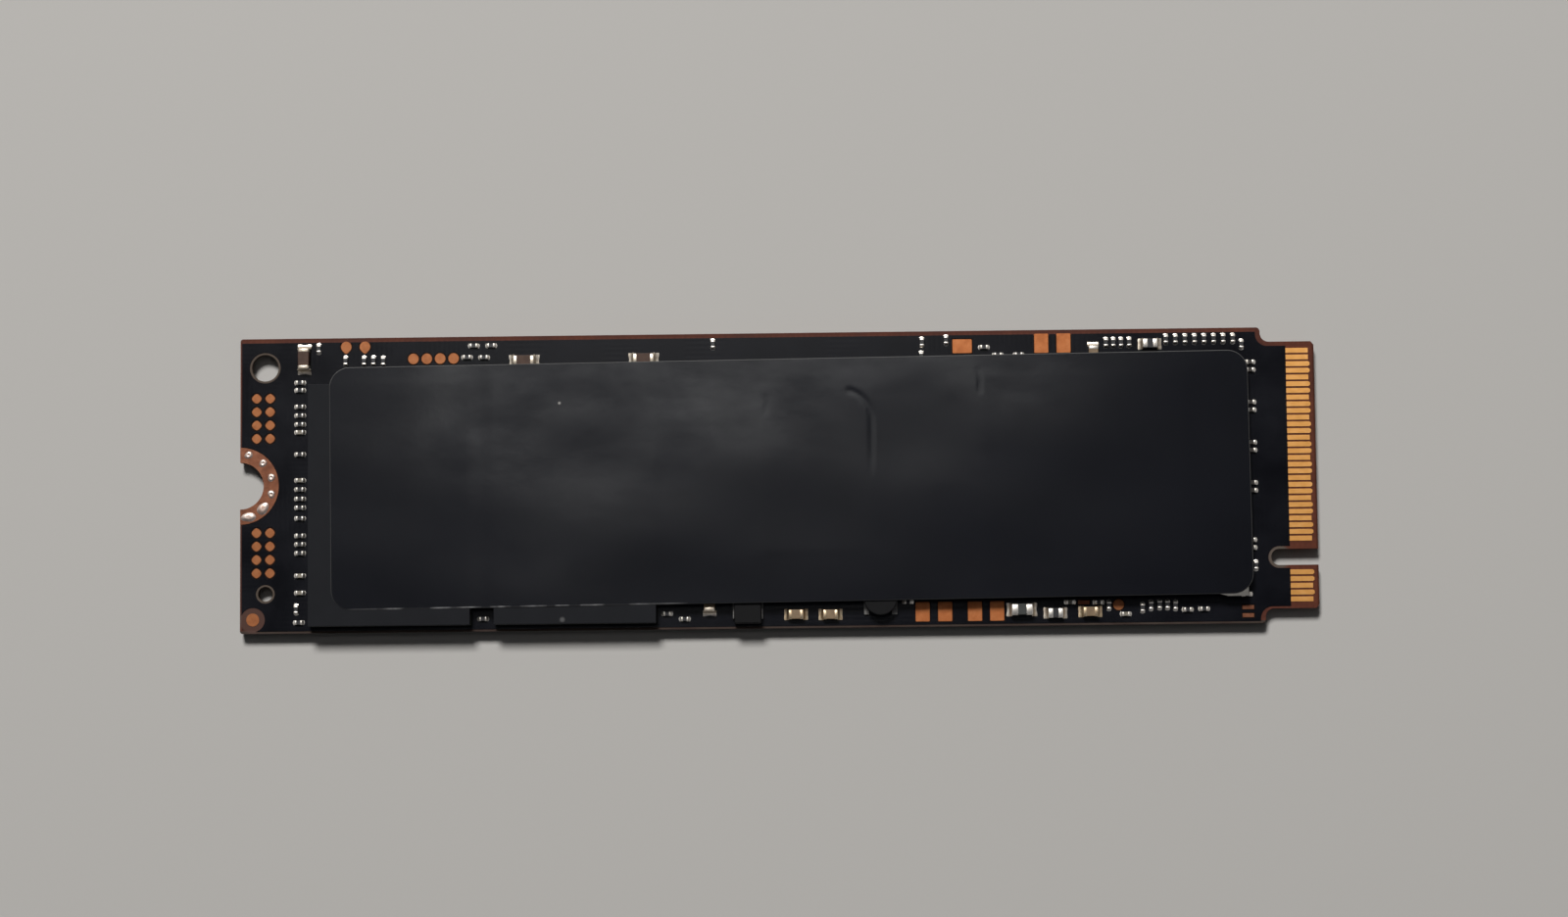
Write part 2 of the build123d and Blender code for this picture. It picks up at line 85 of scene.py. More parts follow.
def solidBoxes(nodeName):
    # middle and size of each solid in a node: triangles that touch pass on the lowest corner number they hold
    places, triangles = nodePoints(nodeName)
    owner = np.arange(len(places))
    spreading = True
    while spreading:
        before = owner.copy()
        lowest = owner[triangles].min(axis=1, keepdims=True)
        np.minimum.at(owner, triangles, np.broadcast_to(lowest, triangles.shape))
        spreading = bool((owner != before).any())
    solids, member = np.unique(owner, return_inverse=True)
    low = np.full((len(solids), 3), np.inf)
    high = np.full((len(solids), 3), -np.inf)
    np.minimum.at(low, member.ravel(), places)
    np.maximum.at(high, member.ravel(), places)
    return (low + high) / 2, high - low


def roundedProfile(low, high, lowRadius, highRadius, steps):
    # (inset, level) rows of an upright wall whose lower and upper edges are quarter circles
    swing = np.linspace(0, quarter, steps)
    lower = np.stack([lowRadius * (1 - np.sin(swing)), low + lowRadius * (1 - np.cos(swing))], axis=-1)
    upper = np.stack([highRadius * (1 - np.cos(swing)), high - highRadius * (1 - np.sin(swing))], axis=-1)
    return np.concatenate([lower, upper])


def softTopProfile(low, high, radius, steps):
    # the same for a wall with a sharp foot: one row there, and a quarter circle above
    return roundedProfile(low, high, 0.0, radius, steps)[steps - 1:]


def stackedRings(sizeA, sizeB, corner, profile, cornerSteps=3):
    # rectangles with quarter-circle corners, stacked on the third axis: each row is drawn in by its inset
    inset, level = profile[:, :1], profile[:, 1:]
    radius = np.maximum(corner - inset, leastRadius)
    swing = np.linspace(0, quarter, cornerSteps)
    angle = (np.arange(4)[:, None] * quarter + swing).ravel()
    towardsA = np.repeat([1, -1, -1, 1], cornerSteps)
    towardsB = np.repeat([1, 1, -1, -1], cornerSteps)
    a = towardsA * (sizeA / 2 - inset - radius) + radius * np.cos(angle)
    b = towardsB * (sizeB / 2 - inset - radius) + radius * np.sin(angle)
    return np.stack([a, b, np.broadcast_to(level, a.shape)], axis=-1)


def circleOf(columns):
    # even angles once round
    return np.arange(columns) * 4 * quarter / columns


def turnedRings(profile, columns):
    # (radius, level) rows carried round the vertical axis
    angle = circleOf(columns)
    radius, level = profile[:, :1], profile[:, 1:]
    x, y = radius * np.cos(angle), radius * np.sin(angle)
    return np.stack([x, y, np.broadcast_to(level, x.shape)], axis=-1)


def lyingAlongX(surface):
    # a stack of rings laid down, so that its rows follow one another along X
    return surface[..., [2, 0, 1]]


def placed(surface, middles, turns=0.0):
    # copies of a surface, each turned about the vertical and moved over the board to its middle
    turns = np.broadcast_to(turns, len(middles))[:, None, None]
    cosine, sine = np.cos(turns), np.sin(turns)
    x, y, z = surface[..., 0], surface[..., 1], surface[..., 2]
    alongX = cosine * x - sine * y + middles[:, 0, None, None]
    alongY = sine * x + cosine * y + middles[:, 1, None, None]
    return np.stack([alongX, alongY, np.broadcast_to(z, alongX.shape)], axis=-1)


def ringFaces(copies, rows, columns):
    # quads between neighbouring rows of every copy, and one flat face over its first and its last row
    column = np.arange(columns)
    corner = (np.arange(copies * rows) * columns).reshape(copies, rows, 1)
    here = corner[:, :-1] + column
    beside = corner[:, :-1] + (column + 1) % columns
    quads = np.stack([here, beside, beside + columns, here + columns], axis=-1).reshape(-1, 4)
    ends = np.concatenate([corner[:, 0] + column[::-1], corner[:, -1] + column])
    return quads, ends


def linkPiece(name, mesh, finish, replaced):
    # puts a finished mesh into the scene, on the one body and in place of the nodes that it replaces
    mesh.materials.append(finish)
    piece = bpy.data.objects.new(name, mesh)
    bpy.context.scene.collection.objects.link(piece)
    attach(piece, "root")
    if replaced:
        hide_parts(*replaced)
    print("piece", name, len(mesh.polygons), "faces")


def ringPiece(name, surfaces, finish, replaced=(), sharpAngle=50.0):
    # one mesh from arrays of closed copies, each array being copies x rows x columns x 3 in millimetres
    points, faces, first = [], [], 0
    for surface in surfaces:
        copies, rows, columns, _ = surface.shape
        quads, ends = ringFaces(copies, rows, columns)
        faces += (quads + first).tolist() + (ends + first).tolist()
        points.append(surface.reshape(-1, 3))
        first += copies * rows * columns
    mesh = bpy.data.meshes.new(name)
    mesh.from_pydata(np.concatenate(points) * mm, [], faces)
    corners = np.empty(len(mesh.polygons), np.int32)
    mesh.polygons.foreach_get("loop_total", corners)
    mesh.set_sharp_from_angle(angle=math.radians(sharpAngle))
    mesh.polygons.foreach_set("use_smooth", corners == 4)  # the flat end faces stay flat
    linkPiece(name, mesh, finish, replaced)


def fillSocket(socket, value):
    # another node's output is linked to the socket, and a constant is set on it
    if isinstance(value, bpy.types.NodeSocket):
        socket.id_data.links.new(value, socket)
    else:
        socket.default_value = value


def fillSockets(node, **values):
    # the same for several sockets of a node, named with _ for a space
    for name, value in values.items():
        fillSocket(node.inputs[name.replace("_", " ")], value)
    return node


def addNode(tree, kind, **values):
    # a new node with some of its sockets filled
    return fillSockets(tree.nodes.new("ShaderNode" + kind), **values)


def startFinish(name, **shaderValues):
    # a new material, its shader, and the object's own coordinates in metres
    finish = bpy.data.materials.new(name)
    finish.use_nodes = True
    shader = fillSockets(finish.node_tree.nodes["Principled BSDF"], **shaderValues)
    return finish, shader, addNode(finish.node_tree, "TexCoord").outputs["Object"]


def stretched(point, scale, turn=0.0):
    # coordinates scaled along each axis and turned about the vertical
    mapping = addNode(point.id_data, "Mapping", Vector=point, Scale=scale, Rotation=(0, 0, turn))
    return mapping.outputs["Vector"]


def noiseOf(point, size, detail=3.0, roughness=0.55, distortion=0.0):
    # cloudy noise whose patches are about size millimetres across
    noise = addNode(point.id_data, "TexNoise", Vector=point, Scale=1 / (size * mm), Detail=detail,
                    Roughness=roughness, Distortion=distortion)
    return noise.outputs["Fac"]


def stripesOf(point, period, direction, distortion=0.0):
    # even bands whose period is given in millimetres; at a scale of 1 it would be pi / 10
    scale = math.pi / 10 / (period * mm)
    wave = addNode(point.id_data, "TexWave", Vector=point, Scale=scale, Distortion=distortion)
    wave.bands_direction = direction
    return wave.outputs["Fac"]


stopPlaces = {2: (0.3, 0.7), 3: (0.28, 0.5, 0.72)}  # where two or three colours lie, if a look doesn't say
noiseSpan = (0.3, 0.7)  # holds most of a noise


def rampOf(value, colours, places=None):
    # colours along a value from 0 to 1
    ramp = addNode(value.id_data, "ValToRGB", Fac=value)
    elements = ramp.color_ramp.elements
    while len(elements) < len(colours):
        elements.new(0.5)
    for element, place, colour in zip(elements, places or stopPlaces[len(colours)], colours):
        element.position = place
        element.color = (*colour, 1)
    return ramp.outputs["Color"]


def rangeOf(value, span, ends):
    # the value carried in a straight line from its span to the ends given, and held there beyond it
    spread = addNode(value.id_data, "MapRange", Value=value, From_Min=span[0], From_Max=span[1],
                     To_Min=ends[0], To_Max=ends[1])
    return spread.outputs["Result"]


def mathOf(operation, first, second, kind="Math"):
    # one sum, difference, product, comparison or distance
    node = addNode(first.id_data, kind)
    node.operation = operation
    fillSocket(node.inputs[0], first)
    fillSocket(node.inputs[1], second)
    return node.outputs["Value"]


def sumOf(values, weights):
    # each value times its weight, added up
    products = [mathOf("MULTIPLY", *pair) for pair in zip(values, weights)]
    total = products[0]
    for product in products[1:]:
        total = mathOf("ADD", total, product)
    return total


def mixOf(share, first, second):
    # first colour where share is 0 and second where it is 1
    mix = addNode(share.id_data, "Mix")
    mix.data_type = "RGBA"
    fillSockets(mix, Factor=share)
    for socket, colour in ((mix.inputs[6], first), (mix.inputs[7], second)):  # the sockets for colours
        fillSocket(socket, (*colour, 1) if isinstance(colour, tuple) else colour)
    return mix.outputs[2]


def reliefOf(shader, height, depth, under=None):
    # surface relief of the given depth in millimetres, over an earlier one if there is any
    bump = addNode(height.id_data, "Bump", Distance=depth * mm, Height=height)
    if under is not None:
        fillSockets(bump, Normal=under)
    fillSockets(shader, Normal=bump.outputs["Normal"])
    return bump.outputs["Normal"]


def beyond(point, axis, level, comparison="GREATER_THAN"):
    # 1 beyond a level in millimetres along an axis and 0 before it, or as another comparison says
    split = addNode(point.id_data, "SeparateXYZ", Vector=point)
    return mathOf(comparison, split.outputs[axis], level * mm)


def between(point, axis, low, high):
    # 1 between two levels in millimetres along an axis, and 0 elsewhere
    return mathOf("SUBTRACT", beyond(point, axis, low), beyond(point, axis, high))


def nearTo(point, x, y, reach, end):
    # 1 within reach of a place on the board, falling with the distance to 0 at the end, all in millimetres
    away = mathOf("DISTANCE", stretched(point, (1, 1, 0)), (x * mm, y * mm, 0), "VectorMath")
    return rangeOf(away, (reach * mm, end * mm), (1, 0))


def dress(shader, look, colour, wear, height):
    # colour as given, roughness along the wear and relief along the height
    roughness = rangeOf(wear, look.get("span", noiseSpan), look["roughness"])
    fillSockets(shader, Base_Color=colour, Roughness=roughness)
    return reliefOf(shader, height, look["relief"])


laminateLook = {
    "fibre": 0.42, "fibreWaver": 1.5, "layer": 0.16, "layerWaver": 0.8, "patch": 2.4, "relief": 0.006,
    "weights": (0.10, 0.22, 0.75),  # of weave, layers and patches in the tone
    "colours": [(0.036, 0.010, 0.006), (0.078, 0.021, 0.012), (0.140, 0.044, 0.025)],
    "places": (0.2, 0.5, 0.9), "span": (0.2, 0.8), "roughness": (0.48, 0.72), "gloss": (0.16, 0.06),
    "inner": [("X", -39.85, 35.6), ("Y", -10.75, 10.6)],  # where only the openings of the mask show it
    "innerColours": [(0.008, 0.004, 0.003), (0.020, 0.009, 0.006)], "zonePlaces": (0.3, 0.8),
    "keyedEdge": -10.8, "keyedColours": [(0.026, 0.012, 0.009), (0.070, 0.055, 0.045)],
    "cardEdge": 37.86, "cardColours": [(0.055, 0.013, 0.006), (0.135, 0.036, 0.019)],
    "rimFade": 0.2, "rim": (0.095, 0.074, 0.060), "surround": (0.085, 0.045, 0.036),
    "rims": [  # drilled and slotted rims: x, y, reach and colour
        (-38.15, 8.82, 1.15, "rim"), (-38.12, -8.06, 0.7, "rim"), (37.1, -6.125, 0.75, "rim"),
        (-39.05, -9.97, 0.9, "surround"),
    ],
}


def laminateFinish(look):
    # resin over woven glass: two crossed sets of fibres, and the pressed layers at the routed edge
    finish, shader, point = startFinish("brown laminate")
    weave = mathOf("MULTIPLY", *[stripesOf(point, look["fibre"], way, look["fibreWaver"]) for way in "XY"])
    layers = stripesOf(point, look["layer"], "Z", look["layerWaver"])
    cloud = noiseOf(point, look["patch"], detail=5.0)
    tone = sumOf((weave, layers, cloud), look["weights"])
    colour = rampOf(tone, look["colours"], look["places"])
    inner = mathOf("MULTIPLY", *[between(point, *span) for span in look["inner"]])
    keyed = beyond(point, "Y", look["keyedEdge"], "LESS_THAN")
    card = beyond(point, "X", look["cardEdge"])
    for share, zone in ((inner, "inner"), (keyed, "keyed"), (card, "card")):
        colour = mixOf(share, colour, rampOf(tone, look[zone + "Colours"], look["zonePlaces"]))
    for x, y, reach, rimColour in look["rims"]:
        near = nearTo(point, x, y, reach, reach + look["rimFade"])
        colour = mixOf(near, colour, look[rimColour])
    dress(shader, look, colour, cloud, tone)
    fillSockets(shader, Specular_IOR_Level=rangeOf(inner, (0, 1), look["gloss"]))
    return finish


maskLook = {
    "colours": [(0.0022, 0.0024, 0.0040), (0.0046, 0.0050, 0.0080)], "places": (0.3, 0.75),
    "span": (0.25, 0.75), "roughness": (0.19, 0.27), "gloss": 0.22, "patch": 3.5,
    "trace": 0.36, "routed": 4.5, "relief": 0.0010, "grain": 0.05, "grainRelief": 0.0010,
    "along": (0.52, 0.56), "across": (0.44, 0.40),  # parts of the noise where traces run that way
}


def maskFinish(look):
    # black lacquer over copper: faint ridges of traces, along the board in some patches and across in others
    finish, shader, point = startFinish("black solder mask", Specular_IOR_Level=look["gloss"])
    patch = noiseOf(point, look["routed"], detail=1.0)
    traces = [stripesOf(point, look["trace"], way) for way in "YX"]
    routed = [rangeOf(patch, look[way], (0, 1)) for way in ("along", "across")]
    cloud = noiseOf(point, look["patch"], detail=4.0)
    colour = rampOf(cloud, look["colours"], look["places"])
    ridges = dress(shader, look, colour, cloud, sumOf(traces, routed))
    reliefOf(shader, noiseOf(point, look["grain"], detail=2.0), look["grainRelief"], ridges)
    return finish


goldLook = {
    "colours": [(0.67, 0.325, 0.090), (0.74, 0.365, 0.108), (0.79, 0.420, 0.145)], "roughness": (0.36, 0.46),
    "wipe": 0.04, "wipeLength": 14.0, "patch": 0.7, "relief": 0.0005,
    "weights": (0.3, 0.7),  # of wipes and patches in the tone
}


def goldFinish(look):
    # plated contacts, wiped lengthwise by the socket's springs
    finish, shader, point = startFinish("contact gold", Metallic=1.0)
    lengthwise = stretched(point, (1 / look["wipeLength"], 1, 1))
    wipes = noiseOf(lengthwise, look["wipe"], detail=4.0, roughness=0.6)
    tone = sumOf((wipes, noiseOf(point, look["patch"])), look["weights"])
    dress(shader, look, rampOf(tone, look["colours"]), wipes, wipes)
    return finish


bareCopper = {
    "metal": 0.7, "places": (0.2, 0.5, 0.8), "span": (0.25, 0.75), "grainSize": 1 / 12,  # share of a patch
}
copperLooks = {
    "padCopper": {
        "name": "bare pad copper", "patch": 0.6, "relief": 0.002, "roughness": (0.56, 0.42),
        "colours": [(0.265, 0.080, 0.022), (0.365, 0.116, 0.034), (0.45, 0.165, 0.058)],
    },
    "roundCopper": {
        "name": "dull pad copper", "patch": 0.6, "relief": 0.002, "roughness": (0.56, 0.42),
        "colours": [(0.190, 0.063, 0.021), (0.262, 0.091, 0.031), (0.33, 0.130, 0.052)],
    },
    "ringCopper": {
        "name": "tarnished ring copper", "patch": 0.8, "relief": 0.004, "roughness": (0.60, 0.36),
        "colours": [(0.080, 0.026, 0.013), (0.165, 0.058, 0.028), (0.28, 0.115, 0.062)],
    },
}


def copperFinish(look):
    # bare copper: clouds of tarnish and a fine etched grain
    look = {**bareCopper, **look}
    finish, shader, point = startFinish(look["name"], Metallic=look["metal"])
    cloud = noiseOf(point, look["patch"], detail=5.0, roughness=0.6)
    grain = noiseOf(point, look["patch"] * look["grainSize"], detail=2.0)
    dress(shader, look, rampOf(cloud, look["colours"], look["places"]), cloud, grain)
    return finish


brightMetal = {"metal": 1.0, "gloss": 0.5, "noise": {"detail": 4.0, "distortion": 0.4}}
grainLooks = {
    "tin": {
        **brightMetal, "name": "plated tin", "patch": 0.22, "relief": 0.004, "roughness": (0.46, 0.35),
        "colours": [(0.50, 0.46, 0.41), (0.72, 0.68, 0.62), (0.86, 0.83, 0.78)],
    },
    # painted reflection: the golden brown of these ends stands in for the tan ceramic mirrored in them in
    # shade
    "tanReflectTin": {
        **brightMetal, "name": "tin with painted tan reflection", "patch": 0.25, "relief": 0.005, "roughness": (0.48, 0.34),
        "colours": [(0.34, 0.245, 0.150), (0.54, 0.415, 0.275), (0.76, 0.64, 0.46)],
    },
    "creamTin": {
        **brightMetal, "name": "cream tin", "patch": 0.25, "relief": 0.005, "roughness": (0.47, 0.35),
        "colours": [(0.40, 0.335, 0.265), (0.61, 0.535, 0.435), (0.80, 0.73, 0.62)],
    },
    # painted shade: the inductor's end plates and the drum's feet lie in shade, so their tin is given dark
    # colours
    "shadeDarkTin": {
        **brightMetal, "name": "shade-darkened tin", "patch": 0.3, "relief": 0.003, "roughness": (0.58, 0.40),
        "colours": [(0.07, 0.068, 0.066), (0.12, 0.117, 0.112), (0.19, 0.185, 0.18)],
    },
    "solder": {
        **brightMetal, "name": "soft solder", "patch": 0.3, "relief": 0.006, "roughness": (0.44, 0.30),
        "colours": [(0.44, 0.37, 0.29), (0.66, 0.58, 0.48), (0.83, 0.77, 0.68)],
    },
    "tinning": {
        **brightMetal, "name": "tinned copper", "patch": 0.25, "relief": 0.010, "roughness": (0.48, 0.28),
        "colours": [(0.34, 0.235, 0.19), (0.54, 0.43, 0.375), (0.74, 0.65, 0.60)],
    },
    "nickel": {
        **brightMetal, "name": "welded nickel lid", "patch": 0.5, "relief": 0.002, "roughness": (0.40, 0.24),
        "colours": [(0.40, 0.39, 0.37), (0.56, 0.55, 0.52), (0.66, 0.65, 0.62)],
    },
    "ferrite": {
        "name": "sintered ferrite", "patch": 0.05, "relief": 0.005, "roughness": (0.42, 0.68), "metal": 0.0,
        "gloss": 0.12, "noise": {"detail": 4.0, "roughness": 0.65},
        "colours": [(0.0018, 0.0018, 0.0022), (0.0055, 0.0055, 0.0062)],
    },
    "lacquer": {
        "name": "winding lacquer", "patch": 0.3, "relief": 0.002, "roughness": (0.22, 0.38), "metal": 0.3,
        "gloss": 0.6, "noise": {"detail": 3.0}, "colours": [(0.10, 0.028, 0.010), (0.34, 0.115, 0.035)],
    },
}


def grainFinish(look):
    # solidified metal, sintered powder or enamel: one noise, whose grains differ in shade, gloss and height
    finish, shader, point = startFinish(
        look["name"], Metallic=look["metal"], Specular_IOR_Level=look["gloss"])
    grains = noiseOf(point, look["patch"], **look["noise"])
    dress(shader, look, rampOf(grains, look["colours"]), grains, grains)
    return finish


packageLook = {
    "corner": 0.06, "edge": 0.035, "steps": 4, "sharp": 30.0, "substrate": 0.2, "parting": 0.012,
    "resinInset": 0.09, "resinFoot": 0.06, "resinNeck": 0.16,
    "mould": [(0.0038, 0.0044, 0.0064), (0.0085, 0.0093, 0.0122)], "laminated": (0.045, 0.055, 0.03),
    "dot": (-15.97, -10.24, 0.1, 0.24), "chalk": (0.085, 0.085, 0.088),  # a pale dot at a flash memory's rim
    "patch": 2.2, "grain": 0.06, "weights": (0.6, 0.4), "roughness": (0.46, 0.66), "gloss": 0.13,
    "relief": 0.004,
}


def mouldFinish(look):
    # filled epoxy with a fine sandy grain, on a thin laminated carrier that shows at the side
    finish, shader, point = startFinish("package mould", Specular_IOR_Level=look["gloss"])
    grain = noiseOf(point, look["grain"], roughness=0.6)
    tone = sumOf((grain, noiseOf(point, look["patch"])), look["weights"])
    mould = mixOf(nearTo(point, *look["dot"]), rampOf(tone, look["mould"]), look["chalk"])
    carrier = mixOf(beyond(point, "Z", packageBottom), look["mould"][0], look["laminated"])
    aboveCarrier = beyond(point, "Z", packageBottom + look["substrate"])
    dress(shader, look, mixOf(aboveCarrier, carrier, mould), grain, grain)
    return finish


glazed = {"grain": 0.07, "patch": 0.6, "weights": (0.45, 0.55), "roughness": (0.32, 0.52), "relief": 0.003}
backingLook = {
    "name": "film backing", "colours": [(0.080, 0.076, 0.070), (0.150, 0.143, 0.132)], "gloss": 0.5,
    "fromEnd": 2.5, "toEnd": 0.38, "drop": 0.17, "dropLength": 0.6, "tuck": 0.2, "thickness": 0.012,
    "gap": 0.004, "stations": 25,
}
ceramicLooks = {
    "brownCeramic": {
        "name": "brown ceramic", "colours": [(0.172, 0.117, 0.072), (0.342, 0.247, 0.157)], "gloss": 0.2,
        # painted light: bodies south of Y = 0 lie in the film's shadow and are painted paler with the colours
        # above; these darker ones are for the bodies north of it
        "other": ("Y", 0.0), "otherColours": [(0.043, 0.023, 0.016), (0.100, 0.058, 0.042)],  # open edge
    },
    "tanCeramic": {
        "name": "tan ceramic", "colours": [(0.14, 0.090, 0.048), (0.27, 0.185, 0.105)], "gloss": 0.5,
    },
    "smallCeramic": {
        "name": "small ceramic", "colours": [(0.14, 0.125, 0.098), (0.29, 0.262, 0.210)], "gloss": 0.5,
        # painted shade: bodies beyond X = 33 mm, beside the film's edge, get these darker colours as if in
        # its shadow
        "other": ("X", 33.0), "otherColours": [(0.012, 0.009, 0.007), (0.030, 0.023, 0.018)],  # card edge
    },
    "beadCeramic": {
        "name": "grey bead ceramic", "colours": [(0.014, 0.016, 0.015), (0.040, 0.043, 0.040)], "gloss": 0.5,
    },
    "backing": backingLook,
}


def ceramicFinish(look):
    # a speckled body with a slight glaze, which may have other colours beyond a level along an axis: painted
    # light or shade
    finish, shader, point = startFinish(look["name"], Specular_IOR_Level=look["gloss"])
    grain = noiseOf(point, glazed["grain"], roughness=0.6)
    tone = sumOf((grain, noiseOf(point, glazed["patch"], detail=2.0)), glazed["weights"])
    colour = rampOf(tone, look["colours"])
    if "other" in look:
        colour = mixOf(beyond(point, *look["other"]), colour, rampOf(tone, look["otherColours"]))
    dress(shader, glazed, colour, grain, grain)
    return finish


resistorLook = {
    "coatColours": [(0.007, 0.007, 0.009), (0.020, 0.020, 0.023)], "coat": 0.07,
    "aluminaColours": [(0.40, 0.39, 0.36), (0.62, 0.61, 0.58)],
    "grain": 0.05, "roughness": (0.30, 0.50), "gloss": 0.5, "relief": 0.002,
}


def resistorFinish(name, top, look):
    # a white alumina chip with a black glass coat on its upper face
    finish, shader, point = startFinish(name, Specular_IOR_Level=look["gloss"])
    grain = noiseOf(point, look["grain"], roughness=0.6)
    alumina, coat = (rampOf(grain, look[layer + "Colours"]) for layer in ("alumina", "coat"))
    dress(shader, look, mixOf(beyond(point, "Z", top - look["coat"]), alumina, coat), grain, grain)
    return finish


labelLook = {
    "length": 68.08, "width": 18.06, "corner": 1.5, "turn": 0.47,  # as cut, and stuck on askew
    "film": 0.05, "bevel": 0.05, "spacing": 0.19, "cornerSteps": 16, "sharp": 25.0,
    "sag": 0.010, "sagReach": 1.2, "wave": 0.045,
    # a wave's length, heading, share and phase; the crease lies at the memory's outer corner
    "waves": [(21.0, 20, 0.45, 1.1), (12.0, -55, 0.33, 2.9), (7.5, 75, 0.22, 0.4)],
    "crease": 0.02, "creaseWidth": 0.14, "creaseRadius": 2.2, "creaseLength": 5.2,
    "creaseDrop": 0.1, "creaseStart": 0.4, "creaseFade": 0.25,
    "dents": [(-0.87, 6.10, -0.69, 4.93), (14.95, 7.96, 15.14, 6.28)], "dentFade": 0.08,  # from x, y to x, y
    "colours": [(0.0034, 0.0038, 0.0056), (0.0058, 0.0064, 0.0094)], "places": (0.3, 0.72),
    # painted light: the cut edge's core is made paler on faces that look towards the window, by cutSwing, and
    # darker away from it, down to cutLeast
    "core": (0.09, 0.09, 0.09), "cutFacing": (0.87, 0.5), "cutTone": 0.55, "cutSwing": 0.45, "cutLeast": 0.2,
    # painted highlight: pale flecks on the film's lower rim, in a patch on its left half, stand in for light
    # caught where the rim lifts
    "glintPatch": (-19.2, -9.2, 8.0, 13.0), "glintWidth": 0.07, "rimGlint": (0.23, 0.23, 0.235),
    "fleck": 2.2, "fleckSpan": (0.45, 0.62), "fleckShare": (0.04, 1),
    "speck": (-16.10, 5.81, 0.03, 0.14), "dusty": (0.34, 0.33, 0.31),
    "cloud": 9.0, "smear": 2.6, "smearStretch": (0.45, 1, 1), "smearTurn": 24, "shineWeights": (0.55, 0.45),
    "roughness": (0.13, 0.21), "glossSpan": (0.35, 0.65), "gloss": (0.7, 0.3), "peel": 0.35, "relief": 0.0010,
}


def filmMiddle():
    # half way between the corners of the film's box
    low, high = nodeBox("label")
    return (low + high) / 2


def labelFinish(look):
    # satin film: clouds and smears in its gloss, a paler core where it is cut, painted lighter towards the
    # window and darker away from it, and painted glints at one rim
    finish, shader, point = startFinish("black label film")
    cloud = noiseOf(point, look["cloud"], roughness=0.5, distortion=0.6)
    slanted = stretched(point, look["smearStretch"], math.radians(look["smearTurn"]))
    smear = noiseOf(slanted, look["smear"], detail=4.0, roughness=0.6)
    cut = addNode(point.id_data, "Attribute")
    cut.attribute_name = "cutEdgeWindowLit"
    colour = mixOf(cut.outputs["Fac"], rampOf(cloud, look["colours"], look["places"]), look["core"])
    turn = math.radians(look["turn"])
    middle = filmMiddle()
    rim = middle[1] - turn * middle[0] + look["glintWidth"] + look["bevel"] - look["width"] / 2
    onRim = beyond(stretched(point, (1, 1, 1), -turn), "Y", rim, "LESS_THAN")
    # painted glints: pale flecks along the lower rim
    flecks = rangeOf(noiseOf(point, look["fleck"], detail=4.0), look["fleckSpan"], look["fleckShare"])
    rimGlint = mathOf("MULTIPLY", flecks, nearTo(point, *look["glintPatch"]))
    colour = mixOf(mathOf("MULTIPLY", rimGlint, onRim), colour, look["rimGlint"])
    colour = mixOf(nearTo(point, *look["speck"]), colour, look["dusty"])
    shine = sumOf((cloud, smear), look["shineWeights"])
    dress(shader, look, colour, shine, noiseOf(point, look["peel"], detail=2.0))
    fillSockets(shader, Specular_IOR_Level=rangeOf(shine, look["glossSpan"], look["gloss"]))
    return finish


finishes = {
    "laminate": laminateFinish(laminateLook), "mask": maskFinish(maskLook), "gold": goldFinish(goldLook),
    "mould": mouldFinish(packageLook), "label": labelFinish(labelLook),
}
families = [(copperFinish, copperLooks), (grainFinish, grainLooks), (ceramicFinish, ceramicLooks)]
for makeFinish, looks in families:
    finishes.update({finishName: makeFinish(look) for finishName, look in looks.items()})
print("finishes made:", len(finishes))

nodeFinishes = {
    "laminate": ["board_laminate"],
    "mask": ["solder_mask_top", "solder_mask_bottom"],
    "gold": ["edge_contacts_top", "edge_contacts_bottom"],
    "ringCopper": ["mounting_ring_top", "mounting_ring_bottom"],
    "roundCopper": ["fiducial_dot"],
    "mould": ["power_chip"],
    "solder": ["power_chip_lands"],
    "beadCeramic": ["crystal_base"],
    "nickel": ["crystal_lid"],
}
for finishName, nodeNames in nodeFinishes.items():
    for nodeName in nodeNames:
        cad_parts[nodeName].material_slots[0].material = finishes[finishName]
print("frame nodes finished:", sum(map(len, nodeFinishes.values())))


def chipPlaces(family):
    # middles and turns of a family's chips, and its sizes; a chip points from its middle to its nearest end
    bodies, bodySizes = solidBoxes(family + "_bodies")
    ends, endSizes = solidBoxes(family + "_ends")
    apart = ends[None, :, :2] - bodies[:, None, :2]
    nearest = np.hypot(apart[..., 0], apart[..., 1]).argmin(axis=1)
    step = apart[np.arange(len(bodies)), nearest]
    flat = bodySizes[0, :2] if abs(step[0, 0]) > abs(step[0, 1]) else bodySizes[0, 1::-1]
    return {
        "middles": bodies, "turns": np.arctan2(step[:, 1], step[:, 0]), "reach": float(np.hypot(*step[0])),
        "bodyLength": flat[0], "bodyWidth": flat[1],
        "bodyLow": bodies[0, 2] - bodySizes[0, 2] / 2, "bodyHigh": bodies[0, 2] + bodySizes[0, 2] / 2,
        "plated": endSizes[0, :2].min(), "endWidth": endSizes[0, :2].max(),
        "endLow": ends[0, 2] - endSizes[0, 2] / 2, "endHigh": ends[0, 2] + endSizes[0, 2] / 2,
    }


chipCorners = {"body": 1.3, "cap": 1.25}  # radius of the corners to that of the edges


def chipBodies(chip, look):
    # ceramic blocks that run on a little under the plated ends
    profile = roundedProfile(chip["bodyLow"], chip["bodyHigh"], look["edge"], look["edge"], look["steps"])
    corner = look["edge"] * chipCorners["body"]
    block = stackedRings(chip["bodyLength"] + 2 * look["tuck"], chip["bodyWidth"], corner, profile)
    return placed(block, chip["middles"], chip["turns"])


def bothEnds(surface, chip):
    # a surface at one end of every chip, and the same turned half round at the other
    there = placed(surface, chip["middles"], chip["turns"])
    return np.concatenate([there, placed(surface, chip["middles"], chip["turns"] + 2 * quarter)])


